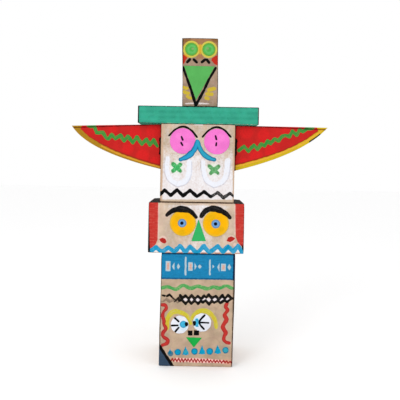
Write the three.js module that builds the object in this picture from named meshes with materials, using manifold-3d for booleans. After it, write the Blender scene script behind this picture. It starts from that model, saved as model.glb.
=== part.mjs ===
// A child-high totem pole made from cardboard cartons.
// Five closed cartons stand on each other: a tall base, a wide block, a head, a flat brim and a small
// top box. Two wings cut from corrugated board plug into slots in the sides of the head. Eyes, noses and
// beaks cut from coloured card are pasted on the fronts.
// Millimetres, +Z up, +X to the right, the decorated side faces -Y. The origin is on the floor under the
// middle of the base.

import * as THREE from 'three';
import { mergeVertices } from 'three/addons/utils/BufferGeometryUtils.js';
import Module from 'manifold-3d';

const wasm = await Module();
wasm.setup();

// Board and paper
const board = 4;              // thickness of a carton's corrugated wall
const foldRadius = 3;         // outside radius of a carton's upright folds
const creaseRadius = 2;       // outside radius of the level folds at a carton's top and bottom
const flapSeam = 2.4;         // gap left where two closed flaps meet
const card = 0.8;             // thickness of a pasted cut-out
const seat = 0.3;             // gap between pieces that rest on or lie against each other

// The cartons, from the floor up: outside sizes, how far the middle stands right of the pole's middle,
// and how far the front face stands behind the front of the wide carton
const base = { width: 288, depth: 260, height: 452, shift: 0, inset: 6 };
const wide = { width: 378, depth: 272, height: 203, shift: -7, inset: 0 };
const head = { width: 294, depth: 236, height: 314, shift: -5, inset: 10 };
const brim = { width: 481, depth: 216, height: 71, shift: -6, inset: 9 };
const top = { width: 141, depth: 112, height: 277, shift: -1.5, inset: 26, seamBelow: true };

// The wings
const wingTipReach = 519;     // from the pole's middle to each wing tip
const wingBoard = 5;
const wingSetback = 30;       // from the head's front face to the middle of the wing's board
const wingTopGap = 1.5;       // from the underside of the brim to the top corner of the wing
const leftWing = { root: 182, tipDrop: 11, bellyReach: 0.18, bellyDepth: 0.56 };
const rightWing = { root: 184, tipDrop: 2, bellyReach: 0.26, bellyDepth: 0.56 };
const tabHeight = 96;
const tabDrop = 46;           // from the wing's top corner down to the tab
const tabReach = 24;          // how far the tab goes in past the carton's wall
const slotClearance = 0.6;    // all round the tab in its slot

// The pasted cut-outs of each face. drop is from the carton's top edge down to the middle of its two
// eyes, middle is that point's place right of the carton's middle, and rise lifts the right eye over
// the left one. A beak's or nose's corners are measured from the same point.
const topFace = {
  radius: 26, spacing: 70, middle: -2, drop: 46, beak: [[-62, -68], [58, -69], [-13, -202]],
};
const headFace = { radius: 51, spacing: 137, middle: 6.5, drop: 69 };
const wideFace = {
  radius: 52, spacing: 131, middle: 12.5, drop: 81.5, beak: [[-3.5, 14.5], [-29.5, -70.5], [26.5, -69.5]],
};
const baseFace = {
  radius: 36, spacing: 89, middle: -21.5, drop: 280, rise: 10,
  beak: [[-17.5, -54], [44.5, -56], [13.5, -94]],
};

const kraft = new THREE.Color(0.56, 0.40, 0.26);
const discSides = 48;
const foldSteps = 3;
const bellySteps = 24;
const cutMargin = 1;          // how far a cutting solid runs past the face that it opens

function material(color, roughness) {
  return new THREE.MeshStandardMaterial({ color, roughness, metalness: 0 });
}

const materials = {
  kraft: material(kraft, 0.9),
  brimGreen: material(new THREE.Color(0.04, 0.36, 0.24), 0.7),
  wingRed: material(new THREE.Color(0.58, 0.03, 0.03), 0.7),
  leafGreen: material(new THREE.Color(0.08, 0.46, 0.12), 0.8),
  pink: material(new THREE.Color(0.88, 0.20, 0.60), 0.8),
  yellow: material(new THREE.Color(0.88, 0.42, 0.01), 0.8),
  white: material(new THREE.Color(0.85, 0.85, 0.88), 0.8),
};

function toSolid(geometry) {
  const bare = geometry.clone();
  for (const name of Object.keys(bare.attributes)) {
    if (name !== 'position') bare.deleteAttribute(name);
  }
  const merged = mergeVertices(bare, 1e-4);
  return new wasm.Manifold(new wasm.Mesh({
    numProp: 3,
    vertProperties: new Float32Array(merged.attributes.position.array),
    triVerts: new Uint32Array(merged.index.array),
  }));
}

function toGeometry(solid) {
  const mesh = solid.getMesh();
  const geometry = new THREE.BufferGeometry();
  geometry.setAttribute('position', new THREE.BufferAttribute(mesh.vertProperties, mesh.numProp));
  geometry.setIndex(new THREE.BufferAttribute(mesh.triVerts, 1));
  geometry.computeVertexNormals();
  return geometry;
}

// A block given by its size and the middle of its underside.
function block(width, depth, height, x, y, z) {
  const geometry = new THREE.BoxGeometry(width, depth, height);
  geometry.translate(x, y, z + height / 2);
  return toSolid(geometry);
}

// The outline of a carton seen from above, with rounded upright folds.
function cartonOutline(width, depth) {
  const x = width / 2;
  const y = depth / 2;
  const r = foldRadius;
  const outline = new THREE.Shape();
  outline.moveTo(-x + r, -y);
  outline.lineTo(x - r, -y);
  outline.absarc(x - r, -y + r, r, -Math.PI / 2, 0);
  outline.lineTo(x, y - r);
  outline.absarc(x - r, y - r, r, 0, Math.PI / 2);
  outline.lineTo(-x + r, y);
  outline.absarc(-x + r, y - r, r, Math.PI / 2, Math.PI);
  outline.lineTo(-x, -y + r);
  outline.absarc(-x + r, -y + r, r, Math.PI, Math.PI * 1.5);
  return outline;
}

// The folded blank of one carton: four walls, one end in one piece, and one end closed by two long flaps
// that meet along a seam over two short ones. The inside is empty. seamBelow turns the flaps downwards.
function cartonSolid({ width, depth, height, seamBelow = false }) {
  const innerWidth = width - 2 * board;
  const innerDepth = depth - 2 * board;
  const innerHeight = height - 2 * board;
  const shortFlap = Math.min(innerDepth / 2, innerWidth / 3);
  const sleeve = new THREE.ExtrudeGeometry(cartonOutline(width, depth), {
    depth: height - 2 * creaseRadius,
    bevelThickness: creaseRadius,
    bevelSize: creaseRadius,
    bevelOffset: -creaseRadius,
    bevelSegments: foldSteps,
    curveSegments: foldSteps,
  });
  sleeve.translate(0, 0, creaseRadius);
  const inside = block(innerWidth, innerDepth, innerHeight, 0, 0, board);
  const seam = block(innerWidth, flapSeam, board + cutMargin, 0, 0, seamBelow ? -cutMargin : height - board);
  let carton = toSolid(sleeve).subtract(inside).subtract(seam);
  for (const side of [-1, 1]) {
    const x = side * (innerWidth - shortFlap) / 2;
    carton = carton.add(block(shortFlap + cutMargin, innerDepth + cutMargin, board, x, 0,
      seamBelow ? board : height - 2 * board));
  }
  return carton;
}

function piece(name, geometry, finish) {
  const mesh = new THREE.Mesh(geometry, finish);
  mesh.name = name;
  return mesh;
}

// A group that stands at a carton's own place, with the carton in it.
function tier(name, size, bottom, finish, solid = cartonSolid(size)) {
  const group = new THREE.Group();
  const front = -wide.depth / 2 + size.inset;
  group.position.set(size.shift, front + size.depth / 2, bottom);
  group.add(piece(name, toGeometry(solid), finish));
  return group;
}

// A flat cut-out of card on the front of a carton, placed from the middle of the carton's bottom edge.
function pasted(name, size, outline, finish, x, z) {
  const geometry = new THREE.ExtrudeGeometry(outline, {
    depth: card,
    bevelEnabled: false,
    curveSegments: discSides,
  });
  geometry.rotateX(Math.PI / 2);
  const mesh = piece(name, geometry, finish);
  mesh.position.set(x, -size.depth / 2 - seat, z);
  return mesh;
}

// Two round eyes side by side, and the beak or nose that belongs to them.
function addFace(group, size, prefix, face, eyeFinish, beakName) {
  const eyeLine = size.height - face.drop;
  for (const [side, word] of [[-1, 'left'], [1, 'right']]) {
    const disc = new THREE.Shape().absarc(0, 0, face.radius, 0, Math.PI * 2);
    group.add(pasted(`${prefix}_eye_${word}`, size, disc, eyeFinish,
      face.middle + side * face.spacing / 2, eyeLine + side * (face.rise ?? 0) / 2));
  }
  if (beakName) {
    const beak = new THREE.Shape(face.beak.map(([x, z]) => new THREE.Vector2(x, z)));
    group.add(pasted(`${prefix}_${beakName}`, size, beak, materials.leafGreen, face.middle, eyeLine));
  }
}

// The wings share the head's frame. side is -1 for the left wing and 1 for the right one.
const wingTop = head.height - wingTopGap;
const tabTop = wingTop - tabDrop;
const wingY = -head.depth / 2 + wingSetback;

function wingMesh(name, side, { root, tipDrop, bellyReach, bellyDepth }) {
  const start = head.width / 2 + seat;
  const tip = wingTipReach - side * head.shift;
  const length = tip - start;
  const tabEnd = head.width / 2 - board - tabReach;
  const outline = new THREE.Shape();
  outline.moveTo(start, wingTop - root);
  outline.quadraticCurveTo(tip - bellyReach * length, wingTop - tipDrop - bellyDepth * (root - tipDrop),
    tip, wingTop - tipDrop);
  outline.lineTo(start, wingTop);
  outline.lineTo(start, tabTop);
  outline.lineTo(tabEnd, tabTop);
  outline.lineTo(tabEnd, tabTop - tabHeight);
  outline.lineTo(start, tabTop - tabHeight);
  const geometry = new THREE.ExtrudeGeometry(outline, {
    depth: wingBoard,
    bevelEnabled: false,
    curveSegments: bellySteps,
  });
  geometry.rotateX(Math.PI / 2);
  geometry.translate(0, wingBoard / 2, 0);
  if (side < 0) geometry.rotateZ(Math.PI);
  const mesh = piece(name, geometry, materials.wingRed);
  mesh.position.y = wingY;
  return mesh;
}

// The head is a carton with an upright slot in each side for a wing's tab.
function headSolid() {
  let carton = cartonSolid(head);
  for (const side of [-1, 1]) {
    carton = carton.subtract(block(board + 2 * cutMargin, wingBoard + 2 * slotClearance,
      tabHeight + 2 * slotClearance, side * (head.width - board) / 2, wingY,
      tabTop - tabHeight - slotClearance));
  }
  return carton;
}

const wideBottom = base.height + seat;
const headBottom = wideBottom + wide.height + seat;
const brimBottom = headBottom + head.height + seat;
const topBottom = brimBottom + brim.height + seat;

const baseTier = tier('base_carton', base, 0, materials.kraft);
addFace(baseTier, base, 'base', baseFace, materials.white, 'beak');

const wideTier = tier('wide_carton', wide, wideBottom, materials.kraft);
addFace(wideTier, wide, 'wide', wideFace, materials.yellow, 'nose');

const headTier = tier('head_carton', head, headBottom, materials.kraft, headSolid());
addFace(headTier, head, 'head', headFace, materials.pink);
headTier.add(wingMesh('wing_left', -1, leftWing));
headTier.add(wingMesh('wing_right', 1, rightWing));

const brimTier = tier('brim_carton', brim, brimBottom, materials.brimGreen);

const topTier = tier('top_carton', top, topBottom, materials.kraft);
addFace(topTier, top, 'top', topFace, materials.leafGreen, 'beak');

const totemPole = new THREE.Group();
totemPole.add(baseTier, wideTier, headTier, brimTier, topTier);

export default totemPole;
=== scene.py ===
import math

import bpy
import numpy as np
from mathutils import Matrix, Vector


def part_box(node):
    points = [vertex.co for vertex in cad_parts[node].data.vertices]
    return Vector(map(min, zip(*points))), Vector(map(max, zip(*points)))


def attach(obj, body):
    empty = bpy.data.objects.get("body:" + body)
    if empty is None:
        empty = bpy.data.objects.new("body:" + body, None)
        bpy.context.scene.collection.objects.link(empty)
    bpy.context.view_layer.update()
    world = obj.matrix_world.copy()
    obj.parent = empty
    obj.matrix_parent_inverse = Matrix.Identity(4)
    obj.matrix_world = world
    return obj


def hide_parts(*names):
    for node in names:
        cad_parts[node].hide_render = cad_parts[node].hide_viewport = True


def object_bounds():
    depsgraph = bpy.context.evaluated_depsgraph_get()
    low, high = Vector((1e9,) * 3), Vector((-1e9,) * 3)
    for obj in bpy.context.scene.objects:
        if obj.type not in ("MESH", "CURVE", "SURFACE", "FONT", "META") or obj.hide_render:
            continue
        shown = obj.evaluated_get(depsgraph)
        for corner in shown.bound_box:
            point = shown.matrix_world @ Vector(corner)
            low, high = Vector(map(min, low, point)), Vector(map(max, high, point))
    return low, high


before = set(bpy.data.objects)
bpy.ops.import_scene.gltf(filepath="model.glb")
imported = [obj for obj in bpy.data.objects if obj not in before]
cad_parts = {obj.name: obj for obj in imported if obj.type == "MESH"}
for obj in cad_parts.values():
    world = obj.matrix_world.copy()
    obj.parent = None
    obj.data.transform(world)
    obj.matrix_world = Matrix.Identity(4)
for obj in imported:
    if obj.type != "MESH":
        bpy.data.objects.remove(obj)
cadLow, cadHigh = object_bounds()
print("frame loaded")

mm = 0.001
farAway = 99.0  # a field value in mm that no paint reaches
lightLevel = 1.2  # what the studio gives a front face, against a white card


def tint(red, green, blue):
    # a colour as it should look in the picture, turned into the linear colour that a shader wants
    def linear(value):
        value = value / 255
        return (value / 12.92 if value <= 0.04045 else ((value + 0.055) / 1.055) ** 2.4) / lightLevel
    return (linear(red), linear(green), linear(blue), 1.0)


# Camera and studio

cameraLook = {
    "distance": 2.069,  # from the front of the widest carton, in metres
    "right": 0.0039,  # the eye's place right of the pole's middle
    "height": 0.810,  # the eye's height over the floor
    "roll": 1.0,  # degrees
    "focal": 46.8,
    "sensor": 36,
    "shift": -0.09,  # the picture was framed lower than the level eye looks
}


def setCamera():
    data = bpy.data.cameras.new("photoCamera")
    data.lens = cameraLook["focal"]
    data.sensor_width = cameraLook["sensor"]
    data.shift_y = cameraLook["shift"]
    camera = bpy.data.objects.new("photoCamera", data)
    camera.location = (cameraLook["right"], cadLow.y - cameraLook["distance"], cameraLook["height"])
    camera.rotation_euler = (math.pi / 2, math.radians(-cameraLook["roll"]), 0)
    bpy.context.collection.objects.link(camera)
    bpy.context.scene.camera = camera


studioLook = {
    "sky": 1.0,  # even white light from all round
    "lamps": (  # a big soft one high on the left and a wide one from the right: place, width, power
        ("keyLamp", (-1.7, -2.6, 2.5), 1.6, 30.0),
        ("fillLamp", (2.4, -2.0, 1.2), 1.8, 9.0),
    ),
    "aim": (0, 0, 0.7),
    "floor": (0.98, 0.98, 0.98, 1.0),
    "floorRoughness": 0.9,
    "floorSize": 30.0,
}


def softLamp(name, place, size, power):
    data = bpy.data.lights.new(name, "AREA")
    data.shape = "DISK"
    data.size = size
    data.energy = power
    lamp = bpy.data.objects.new(name, data)
    lamp.location = place
    across, away, up = np.subtract(studioLook["aim"], place)
    pitch = math.atan2(up, math.hypot(across, away))
    lamp.rotation_euler = (math.pi / 2 + pitch, 0, math.atan2(away, across) - math.pi / 2)
    bpy.context.collection.objects.link(lamp)


def setStudio():
    scene = bpy.context.scene
    scene.view_settings.view_transform = "Standard"
    world = bpy.data.worlds.new("studio")
    world.use_nodes = True
    sky = world.node_tree.nodes["Background"]
    sky.inputs["Color"].default_value = (1, 1, 1, 1)
    sky.inputs["Strength"].default_value = studioLook["sky"]
    scene.world = world
    for lamp in studioLook["lamps"]:
        softLamp(*lamp)
    reach = studioLook["floorSize"] / 2
    mesh = bpy.data.meshes.new("studioFloor")
    corners = ((-reach, -reach, 0), (reach, -reach, 0), (reach, reach, 0), (-reach, reach, 0))
    mesh.from_pydata(corners, [], [(0, 1, 2, 3)])
    floor = bpy.data.objects.new("studioFloor", mesh)
    bpy.context.collection.objects.link(floor)
    mesh.materials.append(Recipe("studioFloor").finish(
        {"Base Color": studioLook["floor"], "Roughness": studioLook["floorRoughness"]}))


# Nodes: a Wire is one socket, a Graph fills one tree, a Recipe is one material's graph

def arithmetic(operation, swapped=False):
    def work(self, other):
        first, second = (other, self) if swapped else (self, other)
        return self.graph.node("ShaderNodeMath", {0: first, 1: second}, operation=operation)
    return work


class Wire:
    __add__ = arithmetic("ADD")
    __sub__ = arithmetic("SUBTRACT")
    __rsub__ = arithmetic("SUBTRACT", swapped=True)
    __mul__ = arithmetic("MULTIPLY")
    __truediv__ = arithmetic("DIVIDE")

    def __init__(self, graph, socket):
        self.graph = graph
        self.socket = socket

    def ramp(self, low, high):
        # 0 at low, 1 at high, with soft ends
        return self.graph.node("ShaderNodeMapRange", {"Value": self, "From Min": low, "From Max": high},
                               interpolation_type="SMOOTHSTEP")


class Graph:
    def __init__(self, tree):
        self.tree = tree

    def node(self, kind, sockets=None, output=0, **settings):
        made = self.tree.nodes.new(kind)
        for key, value in settings.items():
            setattr(made, key, value)
        for key, value in (sockets or {}).items():
            if isinstance(value, Wire):
                self.tree.links.new(value.socket, made.inputs[key])
            else:
                made.inputs[key].default_value = value
        return Wire(self, made.outputs[output]) if made.outputs else None


class Recipe(Graph):
    def __init__(self, name):
        self.material = bpy.data.materials.new(name)
        self.material.use_nodes = True
        super().__init__(self.material.node_tree)
        self.tree.nodes.clear()

    def stretched(self, vector, scale):
        return self.node("ShaderNodeVectorMath", {0: vector, 1: scale}, operation="MULTIPLY")

    def noise(self, vector, scale, detail, output=0):
        sockets = {"Vector": vector, "Scale": scale, "Detail": detail}
        return self.node("ShaderNodeTexNoise", sockets, output)

    def field(self, name, output="Fac"):
        return self.node("ShaderNodeAttribute", output=output, attribute_name=name)

    def blend(self, factor, under, over, how="MIX"):
        sockets = {0: factor, 6: under, 7: over}
        return self.node("ShaderNodeMix", sockets, 2, data_type="RGBA", blend_type=how)

    def finish(self, sockets):
        shader = self.node("ShaderNodeBsdfPrincipled", sockets)
        self.node("ShaderNodeOutputMaterial", {"Surface": shader})
        return self.material


# Brush marks. A mark measures points in mm: how far each lies outside the paint (negative inside),
# and how far along and across the brush's own path it is

def smoothPath(points, widths, steps=8):
    # a soft curve through all the points, with the width eased between them
    path = np.array(points, float)
    ends = np.vstack([2 * path[0] - path[1], path, 2 * path[-1] - path[-2]])
    t = np.linspace(0, 1, steps, endpoint=False)[:, None]
    bits = []
    for before, start, stop, after in zip(ends, ends[1:], ends[2:], ends[3:]):
        bits.append(0.5 * (2 * start + (stop - before) * t
                           + (2 * before - 5 * start + 4 * stop - after) * t ** 2
                           + (3 * start - before - 3 * stop + after) * t ** 3))
    line = np.vstack(bits + [path[-1:]])
    spread = np.interp(np.linspace(0, len(path) - 1, len(line)), np.arange(len(path)), widths)
    return line, spread


handLook = {
    "uneven": 0.07,  # how much a hand-held brush changes its width
    "most": 0.5,  # and by how many mm at the most
    "waves": (9, 4.1),  # over how many mm of its path
    "wrap": 4.0,  # how far a stroke runs round a front fold, in mm
}


def stroke(points, width, curved=False):
    # width is one number, or one for the start, middle and end of the stroke
    stops = np.atleast_1d(np.array(width, float))
    widths = np.interp(np.linspace(0, 1, len(points)), np.linspace(0, 1, max(2, len(stops))),
                       stops if len(stops) > 1 else np.repeat(stops, 2))
    path = np.array(points, float)
    if curved:
        path, widths = smoothPath(points, widths)

    def measure(x, z):
        best = np.full(x.shape, farAway)
        along = np.zeros(x.shape)
        across = np.zeros(x.shape)
        run = 0.0
        for start, stop, wide, narrow in zip(path, path[1:], widths, widths[1:]):
            step = stop - start
            length = math.hypot(*step)
            t = np.clip(((x - start[0]) * step[0] + (z - start[1]) * step[1]) / length ** 2, 0, 1)
            gap = np.hypot(x - start[0] - t * step[0], z - start[1] - t * step[1])
            radius = (wide + (narrow - wide) * t) / 2
            wave = sum(np.sin((run + t * length) / size) for size in handLook["waves"])
            gap = gap - radius - wave * np.minimum(handLook["uneven"] * radius, handLook["most"])
            nearer = gap < best
            side = ((x - start[0]) * step[1] - (z - start[1]) * step[0]) / length
            along = np.where(nearer, run + t * length, along)
            across = np.where(nearer, side, across)
            best = np.where(nearer, gap, best)
            run += length
        return best, along, across
    return measure


def hoop(x, z, radius, width):
    def measure(px, pz):
        away = np.hypot(px - x, pz - z)
        return np.abs(away - radius) - width / 2, np.arctan2(pz - z, px - x) * radius, away
    return measure


def dot(x, z, radius):
    def measure(px, pz):
        away = np.hypot(px - x, pz - z)
        return away - radius, np.arctan2(pz - z, px - x) * radius, away
    return measure


def patch(*points):
    # a filled shape with straight sides
    corners = np.array(points, float)

    def measure(x, z):
        best = np.full(x.shape, farAway)
        inside = np.zeros(x.shape, bool)
        for start, stop in zip(corners, np.roll(corners, -1, axis=0)):
            step = stop - start
            t = np.clip(((x - start[0]) * step[0] + (z - start[1]) * step[1]) / (step @ step), 0, 1)
            best = np.minimum(best, np.hypot(x - start[0] - t * step[0], z - start[1] - t * step[1]))
            crosses = (start[1] > z) != (stop[1] > z)
            rise = np.where(abs(step[1]) > 1e-9, step[1], 1e-9)
            inside ^= crosses & (x < start[0] + (z - start[1]) * step[0] / rise)
        return np.where(inside, -best, best), x, z
    return measure


def box(left, bottom, right, top):
    return patch((left, bottom), (right, bottom), (right, top), (left, top))


def curve(points, width):
    return stroke(points, width, curved=True)


def dash(startX, startZ, stopX, stopZ, width):
    return stroke([(startX, startZ), (stopX, stopZ)], width)


def zigzag(start, stop, teeth, height, width, uneven=1.3):
    # teeth between two points, first tooth up, each as far out of line as a hand leaves it
    random = np.random.default_rng(teeth)
    count = 2 * teeth + 1
    xs = np.linspace(start[0], stop[0], count) + random.uniform(-uneven, uneven, count)
    rise = np.interp(np.linspace(0, 1, count), np.linspace(0, 1, len(height)), height)
    zs = np.linspace(start[1], stop[1], count) + np.where(np.arange(count) % 2, rise, 0)
    return stroke(list(zip(xs, zs + random.uniform(-uneven, uneven, count))), width)


def coat(name, rgb, *marks, **more):
    # one coat of paint: its marks on the front, allRound a field over the whole box, and its manner.
    # wobble is how uneven its edge is, soft how blurred (mm), dry how streaky, vary how uneven its colour.
    # A coat with shade darkens what is under it; one with overCard runs over the pasted cut-outs too
    manner = {"wobble": 1.0, "soft": 0.8, "dry": 0, "vary": 0.16, "cover": 1, "shade": False,
              "overCard": False, "allRound": None, **more}
    return {"name": name, "colour": tint(*rgb), "marks": marks, **manner}


def layOn(coats, points):
    # the fields of every coat at points given as x from the middle, depth behind the front, z up (mm)
    x, depth, z = points.T
    fields = {}
    nearest = np.full(len(points), farAway)
    brush = np.zeros((len(points), 3))
    front = depth < 14
    spots = np.flatnonzero(front)
    for layer in coats:
        value = np.full(len(points), farAway)
        for mark in layer["marks"]:
            gap, along, across = mark(x[front], z[front])
            gap = np.maximum(gap, depth[front] - handLook["wrap"])
            value[front] = np.minimum(value[front], gap)
            closer = gap < nearest[front]
            nearest[spots[closer]] = gap[closer]
            brush[spots[closer], 0] = along[closer]
            brush[spots[closer], 1] = across[closer]
        if layer["allRound"]:
            value = np.minimum(value, layer["allRound"](x, depth, z))
        fields[layer["name"]] = np.clip(value, -farAway, farAway)
    return fields, brush


# Paint and paper

paperLook = {
    "noises": {  # scale per metre and detail
        "mottle": (26, 5), "patchy": (9, 3), "scuff": (130, 3), "drift": (55, 2),
        "looseEdge": (110, 2), "tightEdge": (420, 2)},
    "fibreSize": (300, 300, 1500),
    "streakSize": (0.018, 0.55, 1.0),  # per mm along and across the brush's path
    "sweepSize": (62, 62, 24),  # of the broad wash brush
    "warp": (14.0, 3.0, 0.05),  # scale, detail and reach of what bends the crumples
    "cells": 21.0,
    "creaseWidth": 0.075,
    "fibre": 0.20,  # strength of the fine fibres in the colour
    "mottle": 0.13,
    "stain": 0.10,  # of the darker patches
    "crumple": 0.16,  # how much painted shade darkens the colour along the fine crumples
    "wear": 0.5,  # how far the folds are rubbed lighter
    "roughness": 0.84,
    "paintGloss": 0.12,  # how much smoother paint is
    "specular": 0.06,
    "fibreDepth": 0.00010,
    "mottleDepth": 0.0006,
    "crumpleDepth": 0.0007,
    "paintDepth": 0.00028,
    "bump": 0.7,
    "wash": tint(242, 240, 243),
    "washThin": tint(226, 214, 211),
    "rubbed": tint(222, 200, 174),
    "driftTo": (0.90, 1.0, 0.90, 1.0),  # the paper's own colour wanders towards this share of itself
}


def shaded(colour, share):
    return tuple(min(1.0, c * share) for c in colour[:3]) + (1.0,)


def paintedPaper(name, ground, coats, washed=True, crumple=1.0):
    # kraft paper or card, washed with thin white and painted coat over coat
    look = paperLook
    cloudy = look["mottle"] * (0.3 + 0.7 * crumple)
    recipe = Recipe(name)
    place = recipe.node("ShaderNodeTexCoord", output="Object")
    mottle, patchy, scuff, drift, looseEdge, tightEdge = (
        recipe.noise(place, *size) for size in look["noises"].values())
    fibres = recipe.noise(recipe.stretched(place, look["fibreSize"]), 1.0, 3)
    brush = recipe.field("brush", "Vector")
    streak = recipe.noise(recipe.stretched(brush, look["streakSize"]), 1.0, 3)
    # thin lines where two cells of a warped pattern meet: the paper's crumples
    scale, detail, reach = look["warp"]
    bend = recipe.stretched(recipe.noise(place, scale, detail, 1), (reach,) * 3)
    warped = recipe.node("ShaderNodeVectorMath", {0: place, 1: bend}, operation="ADD")
    cells = recipe.node("ShaderNodeTexVoronoi", {"Vector": warped, "Scale": look["cells"]},
                        feature="DISTANCE_TO_EDGE")
    crease = (1 - cells.ramp(0.0, look["creaseWidth"])) * patchy.ramp(0.42, 0.6)
    colour = recipe.blend(mottle.ramp(0.32, 0.68), shaded(ground, 1 - cloudy), shaded(ground, 1 + cloudy))
    colour = recipe.blend(drift.ramp(0.36, 0.64) * (0.5 * crumple), colour, look["driftTo"], "MULTIPLY")
    # darker stains and fibres, then painted shade along the crumples
    for mask, dark in ((patchy.ramp(0.35, 0.7) * look["stain"], 0.6),
                       (fibres.ramp(0.35, 0.7) * look["fibre"], 0.74),
                       (crease * (look["crumple"] * crumple), 0.55)):
        colour = recipe.blend(mask, colour, shaded(ground, dark))
    if washed:
        sweep = recipe.noise(recipe.stretched(place, look["sweepSize"]), 1.0, 4)
        cover = (recipe.field("wash") * 1.4 - sweep.ramp(0.25, 0.8) * 0.24 - scuff.ramp(0.45, 0.7) * 0.18
                 - fibres.ramp(0.45, 0.7) * 0.06).ramp(0.0, 0.95)
        thin = sweep.ramp(0.3, 0.7) * 0.45 + scuff.ramp(0.4, 0.62) * 0.4 + crease * 0.2
        colour = recipe.blend(cover, colour, recipe.blend(thin, look["wash"], look["washThin"]))
        rubbed = (1 - recipe.field("fold").ramp(0.4, 4.0)) * scuff.ramp(0.42, 0.62) * look["wear"]
        colour = recipe.blend(rubbed, colour, look["rubbed"])
    height = fibres * look["fibreDepth"] - crease * (look["crumpleDepth"] * crumple) \
        + mottle * look["mottleDepth"]
    roughness = mottle * 0.08 + look["roughness"]
    for layer in coats:
        wobble, soft, dry, vary = (layer[key] for key in ("wobble", "soft", "dry", "vary"))
        edge = (recipe.field(layer["name"]) + (looseEdge - 0.5) * (wobble * 2.6)
                + (tightEdge - 0.5) * (wobble * 1.2))
        mask = edge.ramp(soft, -soft)
        if dry:
            mask = mask * (1 - streak.ramp(0.46, 0.66) * dry - scuff.ramp(0.56, 0.66) * (dry * 0.6))
        if layer["cover"] < 1:
            mask = mask * layer["cover"]
        if layer["shade"]:
            colour = recipe.blend(mask, colour, layer["colour"], "MULTIPLY")
            continue
        pigment = recipe.blend((streak + scuff * 0.4).ramp(0.4, 0.95), shaded(layer["colour"], 1 - vary),
                               shaded(layer["colour"], 1 + vary))
        colour = recipe.blend(mask, colour, pigment)
        height = height + mask * (streak * 0.5 + 0.6) * look["paintDepth"]
        roughness = roughness - mask * look["paintGloss"]
    bump = recipe.node("ShaderNodeBump", {"Height": height, "Distance": 1.0, "Strength": look["bump"]})
    return recipe.finish({"Base Color": colour, "Roughness": roughness, "Normal": bump,
                          "Specular IOR Level": look["specular"]})


# Meshes

def makePiece(name, points, faces, material, slot, nodes=(), fields=None, brush=None):
    # points in mm, faces as lists of point numbers, fields as values at the points
    mesh = bpy.data.meshes.new(name)
    mesh.from_pydata((np.asarray(points) * mm).tolist(), [], [[int(i) for i in face] for face in faces])
    for key, values in (fields or {}).items():
        mesh.attributes.new(key, "FLOAT", "POINT").data.foreach_set("value", np.asarray(values, np.float32))
    if brush is not None:
        mesh.attributes.new("brush", "FLOAT_VECTOR", "POINT").data.foreach_set(
            "vector", np.asarray(brush, np.float32).ravel())
    mesh.polygons.foreach_set("use_smooth", np.ones(len(faces), bool))
    mesh.materials.append(material)
    piece = bpy.data.objects.new(name, mesh)
    bpy.context.collection.objects.link(piece)
    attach(piece, "root")
    if nodes:
        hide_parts(*nodes)
    print("made", name, len(mesh.polygons), "faces")
    return piece


def nodeBox(node):
    return [np.array(corner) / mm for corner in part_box(node)]


def gridLine(length, step, radius):
    # places along one side of a carton, closer together round its folds
    count = max(2, round((length - 2 * radius) / step))
    flat = np.linspace(radius, length - radius, count + 1)
    fold = radius * np.array([0, 0.35, 0.7])
    return np.concatenate([fold, flat, length - fold[::-1]]) - length / 2


def gridQuads(index):
    # the four-sided faces between neighbouring points of a grid
    return np.stack([index[:-1, :-1], index[1:, :-1], index[1:, 1:], index[:-1, 1:]], -1).reshape(-1, 4)


def boxSurface(lines):
    # the closed surface of a box as shared points and four-sided faces
    points, faces, count = [], [], 0
    for axis in range(3):
        u, v = (axis + 1) % 3, (axis + 2) % 3
        gridU, gridV = np.meshgrid(lines[u], lines[v], indexing="ij")
        for end in (0, -1):
            side = np.empty(gridU.shape + (3,))
            side[..., axis] = lines[axis][end]
            side[..., u] = gridU
            side[..., v] = gridV
            quads = gridQuads(count + np.arange(gridU.size).reshape(gridU.shape))
            faces.append(quads if end else quads[:, ::-1])
            points.append(side.reshape(-1, 3))
            count += gridU.size
    points = np.concatenate(points)
    _, first, back = np.unique(np.round(points, 4), axis=0, return_index=True, return_inverse=True)
    return points[first], back.ravel()[np.concatenate(faces)]


def anyWay(random):
    way = random.normal(size=3)
    return way / np.linalg.norm(way)


def buckle(points, seed, size):
    # a smooth field between 0 and 1 made of a few random waves
    random = np.random.default_rng(seed)
    total = np.zeros(len(points))
    for _ in range(9):
        along = points @ anyWay(random)
        length = size * random.uniform(0.5, 2.0)
        total += np.sin(along * 2 * math.pi / length + random.uniform(0, 2 * math.pi))
    return np.clip(0.5 + total / 8, 0, 1)


skinLook = {
    "depthStep": 8.0,
    "creaseWidth": 3.2,
    "creaseReach": (60, 160),
    "creaseCurve": 0.0015,
    "buckleSize": 120,
    "cornerReach": 13,
    "cornerSize": 60,
}


def creases(points, seed, count, spread, depth):
    # long soft folds pressed into the paper
    random = np.random.default_rng(seed)
    total = np.zeros(len(points))
    for _ in range(count):
        middle = random.uniform(-1, 1, 3) * spread
        way = anyWay(random)
        away = points - middle
        curved = skinLook["creaseCurve"] * (away[:, 2] ** 2 - away[:, 0] ** 2)
        across = away @ way + curved * random.uniform(-1, 1)
        reach = random.uniform(*skinLook["creaseReach"])
        far = np.linalg.norm(away, axis=1)
        deep = depth * random.uniform(0.4, 1)
        total += deep * np.exp(-(across / skinLook["creaseWidth"]) ** 2) * np.exp(-(far / reach) ** 2)
    return total


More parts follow.
